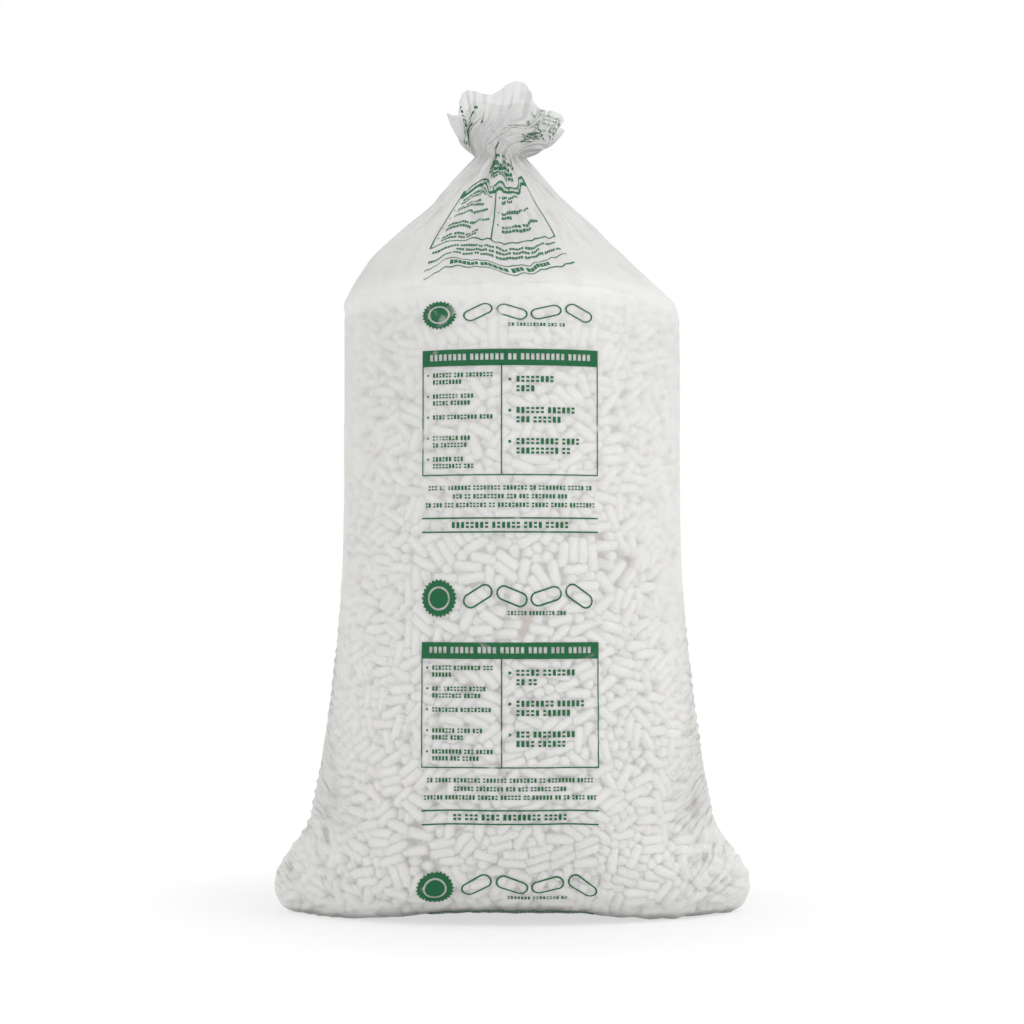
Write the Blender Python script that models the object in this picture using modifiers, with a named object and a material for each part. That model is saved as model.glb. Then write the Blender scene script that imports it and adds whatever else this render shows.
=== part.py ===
"""A tall clear film bag of packing peanuts, standing on its sealed end, with its neck gathered and knotted.

The bag is one tube of film, sealed across the bottom and drawn together at the neck, with its mouth as a ruffled
tuft above. Its girth is the same all the way up the filled part, so where the bag is wider it is shallower. The
peanuts are short rods of starch foam: the packed mass is one solid with peanuts standing out all over its sides,
and those that lie on top of the heap are pieces of their own.

Metres, +Z up, the front of the bag towards -Y, the origin on the ground under the middle of the bag.
"""

import math
import random
from bisect import bisect_right
from itertools import accumulate

import bmesh
import bpy
from mathutils import Matrix, Vector
from mathutils.bvhtree import BVHTree

# Film
LAY_FLAT_WIDTH = 1.02  # the empty tube, pressed flat
FILM_THICKNESS = 0.0005
SEAL_INSET = 0.02  # from each end of the foot to the end of the bottom seal

# The filled part from the ground up: where each stretch ends, and the half width there
HEEL_HEIGHT = 0.055
FLARE_HEIGHT = 0.20
WAIST_HEIGHT = 0.80
SHOULDER_HEIGHT = 1.15
FOOT_HALF_WIDTH = 0.415
FOOT_HALF_DEPTH = 0.16
CORNER_HALF_WIDTH = 0.458
CORNER_HALF_DEPTH = 0.235
FLARE_HALF_WIDTH = 0.385
BODY_HALF_WIDTH = 0.324
CORNER_POINT = 0.80  # power of the section's sides at the corners; 0.5 is an ellipse
TOE_LIFT = 0.031  # how far the middle of the front edge is off the ground
TOE_HALF_SPAN = 0.34

# Slack film between the shoulder and the neck
SHOULDER_ROUND = 0.03
NECK_HEIGHT = 1.455
NECK_RADIUS = 0.050  # over the crests of the pleats
NECK_OFFSET = -0.022  # the neck leans to the left
NECK_PLEAT_DEPTH = 0.020
PLEATS = 12

# Tuft: above the neck the film fans out in two sheets, front and back, and puffs into lobes
TUFT_REACH = 0.127  # from the neck to the mouth, along the film
TUFT_HALF_DEPTH = 0.072
TUFT_SPREAD = math.radians(57.5)  # half the angle of the fan
TUFT_LEAN = math.radians(8.5)  # of the fan, to the right
TUFT_TWIST = math.radians(54.0)  # of the film, between the neck and the mouth
TUFT_PUFF = 0.012
TUFT_LOBES = 7
LOBE_TURN = math.radians(-31.0)  # from the right-hand side to the tip of a lobe
LOBE_SHARE = 0.085  # of the reach, by which a lobe stands out

# Peanuts
PEANUT_LENGTH = 0.046
PEANUT_DIAMETER = 0.018
PEANUT_EASE = 0.2  # of the diameter, taken off the rims of its ends
HEAP_SHOULDER = 1.135  # where the heap leaves the film
HEAP_HEIGHT = 1.205
PEANUT_PITCH = 0.118  # between the peanuts that stand out of the mass
EMBEDDED_SHARE = 0.40  # of a peanut's diameter, sunk in the mass
LOOSE_PEANUTS = 40
LOOSE_REACH = 0.78  # share of the heap's half width that the loose ones cover
FOOT_GAP = 0.0025  # more room under the mass where the front edge of the foot is raised

# Gaps and mesh
CLEARANCE = 0.0003
SEATING_STEP = 0.0002
COLUMNS = PLEATS * 4
MASS_COLUMNS = 32
PEANUT_SIDES = 6
GOLDEN_ANGLE = math.pi * (3.0 - math.sqrt(5.0))
SEED = 7


def clear_scene():
    """Remove every object."""
    for ob in list(bpy.data.objects):
        bpy.data.objects.remove(ob)


def make_material(name, colour, roughness, alpha=1.0):
    """A Principled BSDF with one colour."""
    mat = bpy.data.materials.new(name)
    mat.use_nodes = True
    shader = mat.node_tree.nodes["Principled BSDF"]
    shader.inputs["Base Color"].default_value = (*colour, 1.0)
    shader.inputs["Roughness"].default_value = roughness
    shader.inputs["Metallic"].default_value = 0.0
    shader.inputs["Alpha"].default_value = alpha
    return mat


def smooth(t):
    """Smoothstep, held at 0 and 1 outside its range."""
    t = min(max(t, 0.0), 1.0)
    return t * t * (3.0 - 2.0 * t)


def between(low, high, share):
    return low + (high - low) * share


class Ring:
    """One level section of the film, with its half axes, the power of its sides and its pleats."""

    def __init__(self, height, half_width, half_depth, point=0.5, pleat=0.0, centre=0.0):
        self.height = height
        self.half_width = half_width
        self.half_depth = half_depth
        self.point = point
        self.pleat = pleat
        self.centre = centre

    def plan(self, turn):
        """The point in plan at this share of a turn, from the right-hand side towards the back."""
        angle = 2.0 * math.pi * turn
        inward = self.pleat * (1.0 - math.cos(PLEATS * angle)) / 2.0
        side = math.copysign(abs(math.sin(angle)) ** (2.0 * self.point), math.sin(angle))
        return (self.half_width - inward) * math.cos(angle) + self.centre, (self.half_depth - inward) * side

    def at(self, turn):
        """The point of the film at this share of a turn."""
        x, y = self.plan(turn)
        return Vector((x, y, self.height + toe_lift(x, y, self.height)))

    def lengths(self, steps=96):
        """The length of film from the right-hand side to each of these equal steps of a turn."""
        points = [Vector(self.plan(step / steps)) for step in range(steps + 1)]
        return list(accumulate((b - a).length for a, b in zip(points, points[1:])))

    def girth(self):
        """The length of film around the section."""
        return self.lengths()[-1]

    def turn_at(self, share):
        """The share of a turn at which this share of the girth is reached."""
        lengths = [0.0] + self.lengths()
        target = share % 1.0 * lengths[-1]
        step = max(bisect_right(lengths, target) - 1, 0)
        part = (target - lengths[step]) / (lengths[step + 1] - lengths[step])
        return (step + part) / (len(lengths) - 1)


class TuftRing:
    """A section of the tuft at this share of the way from the neck to the mouth."""

    def __init__(self, rise):
        self.rise = rise

    def at(self, turn):
        """The point of the film at this share of a turn, counted as in a level section."""
        rise = self.rise
        pleat = NECK_PLEAT_DEPTH * (1.0 - rise) * (1.0 - math.cos(2.0 * math.pi * PLEATS * turn)) / 2.0
        angle = 2.0 * math.pi * turn + TUFT_TWIST * smooth(1.6 * rise)
        lobe = 1.0 + LOBE_SHARE * math.cos(TUFT_LOBES * (angle - LOBE_TURN))
        way = TUFT_LEAN + TUFT_SPREAD * math.cos(angle)
        reach = TUFT_REACH * lobe
        puff = TUFT_PUFF * math.sin(math.pi * rise)
        x = between((NECK_RADIUS - pleat) * math.cos(angle), reach * math.sin(way), rise) + puff * math.cos(angle)
        y = (between(NECK_RADIUS - pleat, TUFT_HALF_DEPTH * lobe**2, rise) + puff) * math.sin(angle)
        return Vector((NECK_OFFSET + x, y, NECK_HEIGHT + rise * reach * math.cos(way)))


def toe_lift(x, y, z):
    """How far the front edge of the foot is raised here. It fades out up the bag."""
    across = smooth((TOE_HALF_SPAN - abs(x)) / TOE_HALF_SPAN * 1.35)
    forward = min(max(-y / CORNER_HALF_DEPTH, 0.0), 1.0)
    return TOE_LIFT * across * forward * smooth(1.0 - z / (2.0 * FLARE_HEIGHT))


def fitted_ring(height, half_width, point):
    """A section of this width, as deep as the girth of the film leaves it."""
    low, high = 0.0, LAY_FLAT_WIDTH
    for _ in range(24):
        middle = (low + high) / 2.0
        if Ring(height, half_width, middle, point).girth() < 2.0 * LAY_FLAT_WIDTH:
            low = middle
        else:
            high = middle
    return Ring(height, half_width, low, point)


def half_width_at(z):
    """The half width from the heel to the shoulder."""
    if z < FLARE_HEIGHT:
        return between(CORNER_HALF_WIDTH, FLARE_HALF_WIDTH, smooth((z - HEEL_HEIGHT) / (FLARE_HEIGHT - HEEL_HEIGHT)))
    rise = min((z - FLARE_HEIGHT) / (WAIST_HEIGHT - FLARE_HEIGHT), 1.0)
    return between(FLARE_HALF_WIDTH, BODY_HALF_WIDTH, 1.0 - (1.0 - rise) ** 2)


def body_ring(z, inset=0.0):
    """A section of the filled part. It is pointed at the sides near the foot, and the heel rounds in under it."""
    point = between(CORNER_POINT, 0.5, smooth(z / (2.0 * FLARE_HEIGHT)))
    ring = fitted_ring(z, half_width_at(z), point)
    if z < FLARE_HEIGHT:
        rise = max(z - HEEL_HEIGHT, 0.0) / (FLARE_HEIGHT - HEEL_HEIGHT)
        ring.half_depth = between(CORNER_HALF_DEPTH, fitted_ring(z, FLARE_HALF_WIDTH, point).half_depth, rise)
    if z < HEEL_HEIGHT:
        heel = math.sqrt(1.0 - (1.0 - z / HEEL_HEIGHT) ** 2)
        ring.half_width = between(FOOT_HALF_WIDTH, ring.half_width, heel)
        ring.half_depth = between(FOOT_HALF_DEPTH, ring.half_depth, heel)
    ring.half_width -= inset
    ring.half_depth -= inset
    return ring


def foot_rings(height, inset=0.0):
    """The underside, from the seal out to the edge of the foot."""
    half_width = FOOT_HALF_WIDTH - inset
    half_depth = FOOT_HALF_DEPTH - inset
    return [
        Ring(height, half_width - SEAL_INSET, 0.0),
        Ring(height, half_width - SEAL_INSET / 2.0, half_depth / 2.0, CORNER_POINT),
        Ring(height, half_width, half_depth, CORNER_POINT),
    ]


def tent_ring(rise):
    """The slack film at this share of the height between the shoulder and the neck."""
    height = between(SHOULDER_HEIGHT, NECK_HEIGHT, rise)
    body_half_depth = fitted_ring(height, BODY_HALF_WIDTH, 0.5).half_depth
    round_share = SHOULDER_ROUND / (NECK_HEIGHT - SHOULDER_HEIGHT)
    slope = max(rise - round_share / 2.0, 0.0) / (1.0 - round_share / 2.0)
    slope = between(rise**2 / (2.0 * round_share), slope, smooth(rise / round_share))
    return Ring(
        height,
        between(BODY_HALF_WIDTH, NECK_RADIUS, slope),
        between(body_half_depth, NECK_RADIUS, slope),
        pleat=NECK_PLEAT_DEPTH * smooth((rise - 0.2) / 0.8),
        centre=NECK_OFFSET * smooth(rise / 0.3),
    )


def film_rings():
    """Every section of the bag, from the seal to the mouth."""
    rings = foot_rings(0.0)
    rings += [body_ring(HEEL_HEIGHT * share) for share in (0.12, 0.45, 1.0)]
    rings += [body_ring(between(HEEL_HEIGHT, FLARE_HEIGHT, share)) for share in (0.33, 0.67, 1.0)]
    rings += [body_ring(between(FLARE_HEIGHT, WAIST_HEIGHT, share)) for share in (0.25, 0.55, 1.0)]
    rings += [body_ring(between(WAIST_HEIGHT, SHOULDER_HEIGHT, 0.5))]
    rings += [tent_ring(share) for share in (0.0, 0.08, 0.16, 0.28, 0.42, 0.56, 0.70, 0.82, 0.92, 1.0)]
    rings += [TuftRing(share) for share in (0.12, 0.28, 0.45, 0.62, 0.8, 1.0)]
    return rings


def rolled_sheet(name, rings, columns):
    """A grid of film, rolled into a tube through the rings and welded where it meets itself."""
    bm = bmesh.new()
    rows = len(rings) - 1
    bmesh.ops.create_grid(bm, x_segments=columns, y_segments=rows, size=0.5)
    for vert in bm.verts:
        column = round((vert.co.x + 0.5) * columns)
        row = round((vert.co.y + 0.5) * rows)
        vert.co = rings[row].at((column % columns) / columns)
    bmesh.ops.remove_doubles(bm, verts=bm.verts, dist=0.00002)
    return finished_object(name, bm)


def finished_object(name, bm):
    """An object from this bmesh, with its normals facing out."""
    bmesh.ops.recalc_face_normals(bm, faces=bm.faces)
    mesh = bpy.data.meshes.new(name)
    bm.to_mesh(mesh)
    bm.free()
    return bpy.data.objects.new(name, mesh)


def evaluated_tree(ob):
    """A search tree of the object as its modifiers leave it."""
    bpy.context.view_layer.update()
    return BVHTree.FromObject(ob, bpy.context.evaluated_depsgraph_get())


def make_film_bag(parts):
    """The film, from its outer surface inwards."""
    bag = rolled_sheet("film_bag", film_rings(), COLUMNS)
    parts.objects.link(bag)
    wall = bag.modifiers.new("Film", "SOLIDIFY")
    wall.thickness = FILM_THICKNESS
    wall.offset = -1.0
    bag.data.shade_smooth()
    bag.data.materials.append(make_material("clear_film", (0.86, 0.86, 0.85), 0.25, alpha=0.25))
    return bag


def peanut_bmesh(place, swell=0.0, eased=True):
    """One short rod of foam, with eased ends or plain ones, lying along its own X axis, set at this place."""
    bm = bmesh.new()
    radius = PEANUT_DIAMETER / 2.0 + swell
    length = PEANUT_LENGTH + 2.0 * swell
    verts = bmesh.ops.create_cone(
        bm, cap_ends=True, segments=PEANUT_SIDES, radius1=radius, radius2=radius, depth=length
    )["verts"]
    flat_down = Matrix.Rotation(math.pi / PEANUT_SIDES, 3, "X")
    bmesh.ops.rotate(bm, verts=verts, matrix=flat_down @ Matrix.Rotation(math.pi / 2.0, 3, "Y"))
    if eased:
        rims = [edge for edge in bm.edges if edge.verts[0].co.x * edge.verts[1].co.x > 0.0]
        ease = PEANUT_EASE * PEANUT_DIAMETER
        bmesh.ops.bevel(bm, geom=rims, offset=ease, segments=1, profile=0.5, affect="EDGES", material=-1)
    bmesh.ops.transform(bm, verts=bm.verts, matrix=place)
    return bm


def lying_height():
    """From the middle of a peanut to the flat it lies on."""
    return PEANUT_DIAMETER / 2.0 * math.cos(math.pi / PEANUT_SIDES)


def touches(tree, place):
    """True if a peanut at this place is nearer to the tree's surface than the clearance."""
    bm = peanut_bmesh(place, swell=CLEARANCE, eased=False)
    found = bool(tree.overlap(BVHTree.FromBMesh(bm)))
    bm.free()
    return found


def seated(tree, place, onward):
    """Draw a peanut back from the surface that lies onward of it until it is clear."""
    step = Matrix.Translation(-onward * SEATING_STEP)
    while touches(tree, place):
        place = step @ place
    return place


def lying_on(point, outward, spin):
    """A place for a peanut that lies flat against a surface, turned about the outward direction."""
    basis = outward.to_track_quat("Z", "X").to_matrix().to_4x4()
    return Matrix.Translation(point) @ basis @ Matrix.Rotation(spin, 4, "Z")


def mass_rings():
    """The packed mass inside the film: the film's own sections, drawn in, under a domed heap."""
    inset = PEANUT_DIAMETER * (1.0 - EMBEDDED_SHARE)
    rings = foot_rings(FILM_THICKNESS + CLEARANCE, inset)
    heights = [HEEL_HEIGHT / 2.0, HEEL_HEIGHT, between(HEEL_HEIGHT, FLARE_HEIGHT, 0.5), FLARE_HEIGHT]
    heights += [between(FLARE_HEIGHT, WAIST_HEIGHT, 0.4), WAIST_HEIGHT, HEAP_SHOULDER]
    rings += [body_ring(z, inset) for z in heights]
    edge = rings[-1]
    for share in (0.35, 0.65, 1.0):
        angle = math.pi * share / 2.0
        height = between(HEAP_SHOULDER, HEAP_HEIGHT, math.sin(angle))
        rings.append(Ring(height, edge.half_width * math.cos(angle), edge.half_depth * math.cos(angle)))
    return rings


def showing_places(film_tree):
    """Where peanuts stand out of the sides of the mass: staggered rows, each peanut against the film."""
    rng = random.Random(SEED)
    places = []
    gaps = round((HEAP_SHOULDER - HEEL_HEIGHT) / PEANUT_PITCH)
    for row in range(gaps + 1):
        ring = body_ring(between(HEEL_HEIGHT, HEAP_SHOULDER, row / gaps), lying_height())
        count = int(ring.girth() / PEANUT_PITCH)
        for column in range(count):
            turn = ring.turn_at((column + 0.5 * (row % 2) + rng.uniform(-0.15, 0.15)) / count)
            along = ring.at(turn + 0.002) - ring.at(turn - 0.002)
            outward = along.cross(Vector((0.0, 0.0, 1.0))).normalized()
            spin = rng.uniform(-0.5, 0.5) * math.pi
            places.append(seated(film_tree, lying_on(ring.at(turn), outward, spin), outward))
    return places


def joined_peanuts(name, places):
    """One mesh that holds a peanut at each place."""
    whole = bmesh.new()
    for place in places:
        bm = peanut_bmesh(place, eased=False)
        single = bpy.data.meshes.new("peanut")
        bm.to_mesh(single)
        bm.free()
        whole.from_mesh(single)
        bpy.data.meshes.remove(single)
    return finished_object(name, whole)


def make_loose_fill(parts, cutters, bag):
    """The packed mass, with the peanuts that stand out of it fused to it."""
    fill = rolled_sheet("loose_fill", mass_rings(), MASS_COLUMNS)
    for vert in fill.data.vertices:
        if vert.co.z < HEEL_HEIGHT + TOE_LIFT:
            vert.co.z += FOOT_GAP * smooth(toe_lift(*vert.co) / FOOT_GAP)
    parts.objects.link(fill)
    showing = joined_peanuts("showing_peanuts", showing_places(evaluated_tree(bag)))
    cutters.objects.link(showing)
    showing.hide_render = True
    showing.display_type = "WIRE"
    fuse = fill.modifiers.new("Peanuts", "BOOLEAN")
    fuse.operation = "UNION"
    fuse.object = showing
    fill.data.materials.append(make_material("starch_foam", (0.90, 0.89, 0.86), 0.85))
    return fill


def make_loose_peanuts(parts, fill):
    """The peanuts on top of the heap, each lying by itself, in a spiral out from the middle."""
    rng = random.Random(SEED + 1)
    tree = evaluated_tree(fill)
    heap = body_ring(HEAP_SHOULDER)
    down = Vector((0.0, 0.0, -1.0))
    for number in range(LOOSE_PEANUTS):
        reach = LOOSE_REACH * math.sqrt((number + 0.5) / LOOSE_PEANUTS)
        angle = number * GOLDEN_ANGLE
        x = heap.half_width * reach * math.cos(angle)
        y = heap.half_depth * reach * math.sin(angle)
        point, normal, _, _ = tree.ray_cast(Vector((x, y, NECK_HEIGHT)), down)
        place = lying_on(point + normal * lying_height(), normal, rng.uniform(-0.5, 0.5) * math.pi)
        peanut = finished_object(f"peanut_{number + 1:02d}", peanut_bmesh(Matrix.Identity(4)))
        peanut.matrix_world = seated(tree, place, -normal)
        peanut.data.materials.append(fill.data.materials[0])
        parts.objects.link(peanut)


def main():
    clear_scene()
    parts = bpy.data.collections.new("packing_peanut_bag")
    cutters = bpy.data.collections.new("cutters")
    bpy.context.scene.collection.children.link(parts)
    bpy.context.scene.collection.children.link(cutters)
    bag = make_film_bag(parts)
    fill = make_loose_fill(parts, cutters, bag)
    make_loose_peanuts(parts, fill)


main()
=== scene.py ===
import math

import bmesh
import bpy
import numpy as np
from bpy.props import FloatProperty, FloatVectorProperty, IntProperty, PointerProperty
from mathutils import Matrix, Vector, noise
from mathutils.bvhtree import BVHTree
from mathutils.kdtree import KDTree


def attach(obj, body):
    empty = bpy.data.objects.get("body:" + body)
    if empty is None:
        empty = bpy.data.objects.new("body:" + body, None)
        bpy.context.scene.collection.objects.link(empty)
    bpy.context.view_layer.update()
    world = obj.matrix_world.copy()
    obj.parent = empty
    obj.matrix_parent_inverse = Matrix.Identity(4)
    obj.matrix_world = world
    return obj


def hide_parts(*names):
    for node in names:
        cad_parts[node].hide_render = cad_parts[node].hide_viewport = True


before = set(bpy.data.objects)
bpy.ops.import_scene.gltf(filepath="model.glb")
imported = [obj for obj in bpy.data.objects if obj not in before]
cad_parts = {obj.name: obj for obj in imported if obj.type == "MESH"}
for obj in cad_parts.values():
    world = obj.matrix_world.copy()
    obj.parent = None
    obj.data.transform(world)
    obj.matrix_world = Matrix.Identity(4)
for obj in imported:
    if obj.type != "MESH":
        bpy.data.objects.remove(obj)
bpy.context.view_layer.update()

bl_info = {
    "name": "Packing Peanut Bag",
    "version": (1, 0, 0),
    "blender": (4, 5, 0),
    "location": "View3D > Sidebar > Peanut Bag",
    "description": "Dresses a clear film bag of starch loose fill: foam rods, film, print and stage",
    "category": "Add Mesh",
}

MM = 0.001
TURN = 2.0 * math.pi
WHITE = (1.0, 1.0, 1.0, 1.0)

# How pointed a level section is at its sides: an ellipse, and the foot of the bag
ROUND = 0.5
POINTED = 0.80

# How far the pleats of the gathered neck are drawn in
PLEAT_DEPTH = 0.022

# Rounding of a foam rod's rims
RIM = 0.0034

# What one operator makes and the next one needs
made = {}


def linear(hex_colour):
    """A linear colour with alpha from an sRGB hex value such as 2e7d4f."""
    channels = [int(hex_colour[i : i + 2], 16) / 255.0 for i in (0, 2, 4)]
    return [c / 12.92 if c <= 0.04045 else ((c + 0.055) / 1.055) ** 2.4 for c in channels] + [1.0]


def colour_property(name, description, hex_colour):
    """A colour that a user can change, with this default."""
    colour = linear(hex_colour)
    return FloatVectorProperty(
        name=name, description=description, subtype="COLOR", size=4, min=0.0, max=1.0, default=colour
    )


def size_property(name, description, metres, least=0.0):
    """A length that a user can change, with this default."""
    return FloatProperty(
        name=name, description=description, unit="LENGTH", precision=4, default=metres, min=least
    )


def angle_property(name, description, degrees):
    """An angle that a user can change, with this default."""
    return FloatProperty(name=name, description=description, unit="ROTATION", default=math.radians(degrees))


def smooth(t):
    """Smoothstep, held at 0 and 1 outside its range."""
    t = np.clip(t, 0.0, 1.0)
    return t * t * (3.0 - 2.0 * t)


def between(low, high, share):
    """What lies this share of the way from low to high."""
    return low + (high - low) * share


class FilmSettings(bpy.types.PropertyGroup):
    """Sizes and colour of the bag film."""

    lay_flat: size_property("Lay-flat width", "Width of the empty tube, pressed flat", 1.02)
    heel_height: size_property("Heel height", "Height at which the foot is widest", 0.055)
    flare_height: size_property("Flare height", "Height at which the flare of the foot ends", 0.20)
    waist_height: size_property("Waist height", "Height at which the taper ends", 0.80)
    shoulder_height: size_property("Shoulder height", "Height at which the slack film begins", 1.15)
    foot_half_width: size_property("Foot half width", "Half width of what rests on the floor", 0.415)
    foot_half_depth: size_property("Foot half depth", "Half depth of what rests on the floor", 0.16)
    corner_half_width: size_property("Corner half width", "From the middle to the tip of a corner", 0.458)
    corner_half_depth: size_property("Corner half depth", "Half depth at the height of the corners", 0.235)
    flare_half_width: size_property("Flare half width", "Half width where the flare ends", 0.385)
    body_half_width: size_property("Body half width", "Half width of the round body", 0.324)
    toe_lift: size_property("Toe lift", "How far the front edge is off the floor", 0.031)
    toe_half_span: size_property("Toe half span", "Half width of the lifted front edge", 0.34)
    shoulder_round: size_property("Shoulder round", "Height over which the shoulder rounds", 0.03)
    shoulder_tuck: size_property("Shoulder tuck", "How far the right shoulder is drawn in", 0.003)
    neck_height: size_property("Neck height", "Height of the knot", 1.455)
    neck_radius: size_property("Neck radius", "Radius of the gathered neck", 0.050)
    neck_offset: size_property("Neck offset", "Lean of the neck to the right", -0.022, least=-0.2)
    tuft_reach: size_property("Tuft reach", "From the neck to the mouth", 0.127)
    tuft_half_depth: size_property("Tuft half depth", "Half depth of the spread mouth", 0.072)
    tuft_spread: angle_property("Tuft spread", "Half the angle that the tuft fans out over", 57.5)
    tuft_lean: angle_property("Tuft lean", "Lean of the tuft to the right", 8.5)
    tuft_twist: angle_property("Tuft twist", "Twist of the film between neck and mouth", 54.0)
    tuft_puff: size_property("Tuft puff", "How far the tuft puffs out half-way up", 0.012)
    lobes: IntProperty(name="Lobes", description="Lobes around the tuft", default=7)
    lobe_turn: angle_property("Lobe turn", "From the right-hand side to the tip of a lobe", -31.0)
    lobe_share: FloatProperty(name="Lobe share", description="What a lobe adds to the reach", default=0.085)
    wrinkle_depth: size_property("Wrinkle depth", "Height of the folds along the sides", 0.0050)
    wrinkle_pitch: size_property("Wrinkle pitch", "Distance between the folds along the sides", 0.018)
    sag: size_property("Sag", "How far the film sinks in between the rods", 0.0045)
    columns: IntProperty(name="Columns", description="Faces around the bag", default=300, min=48)
    haze: colour_property("Haze", "Milky tone of the film", "efefee")


class PeanutSettings(bpy.types.PropertyGroup):
    """Sizes and colours of the foam rods."""

    length: size_property("Length", "Length of a rod", 0.050)
    diameter: size_property("Diameter", "Diameter of a rod", 0.0204)
    heap_shoulder: size_property("Heap shoulder", "Height at which the heap leaves the film", 1.135)
    heap_height: size_property("Heap height", "Height of the middle of the heap", 1.205)
    layer: size_property("Layer", "How deep under the film the modelled rods go", 0.030)
    per_square_metre: FloatProperty(
        name="Rods per square metre", description="Rods in that layer", default=1850.0
    )
    squash: FloatProperty(
        name="Squash", description="Share of the diameter that is left where rods press", default=0.9
    )
    rounds: IntProperty(name="Rounds", description="Rounds of pushing the rods apart", default=80, min=1)
    seed: IntProperty(name="Seed", description="Seed of the random draws", default=11)
    foam: colour_property("Foam", "Colour of the foam", "f8f6f2")
    # The core colour holds painted shade and the painted warm tint of light scattered through the foam
    core: colour_property("Core", "Colour deep in the heap", "f2dcc8")


class PrintSettings(bpy.types.PropertyGroup):
    """Sizes and colour of the print."""

    pitch: size_property("Pitch", "Distance between the repeats", 0.528)
    anchor: size_property("Anchor", "Height of the top of the repeat in the middle of the bag", 0.6325)
    left: size_property("Left", "Left edge of the print", -0.170, least=-0.5)
    right: size_property("Right", "Right edge of the print", 0.162, least=-0.5)
    ink: colour_property("Ink", "Colour of the ink", "165c38")


class StageSettings(bpy.types.PropertyGroup):
    """Camera and lights."""

    distance: size_property("Camera distance", "From the camera to the bag", 4.5)
    camera_height: size_property("Camera height", "Height of the camera", 0.62)
    aim_height: size_property("Aim height", "Height that the camera aims at", 0.768)
    focal_pixels: FloatProperty(
        name="Focal length", description="In pixels of a picture 1024 pixels wide", default=2329.0
    )
    floor: colour_property("Floor", "Colour of the floor", "f2f2f2")


def picked(context):
    """The settings of the scene, by group."""
    scene = context.scene
    return scene.bag_film, scene.bag_peanuts, scene.bag_print, scene.bag_stage


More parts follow.
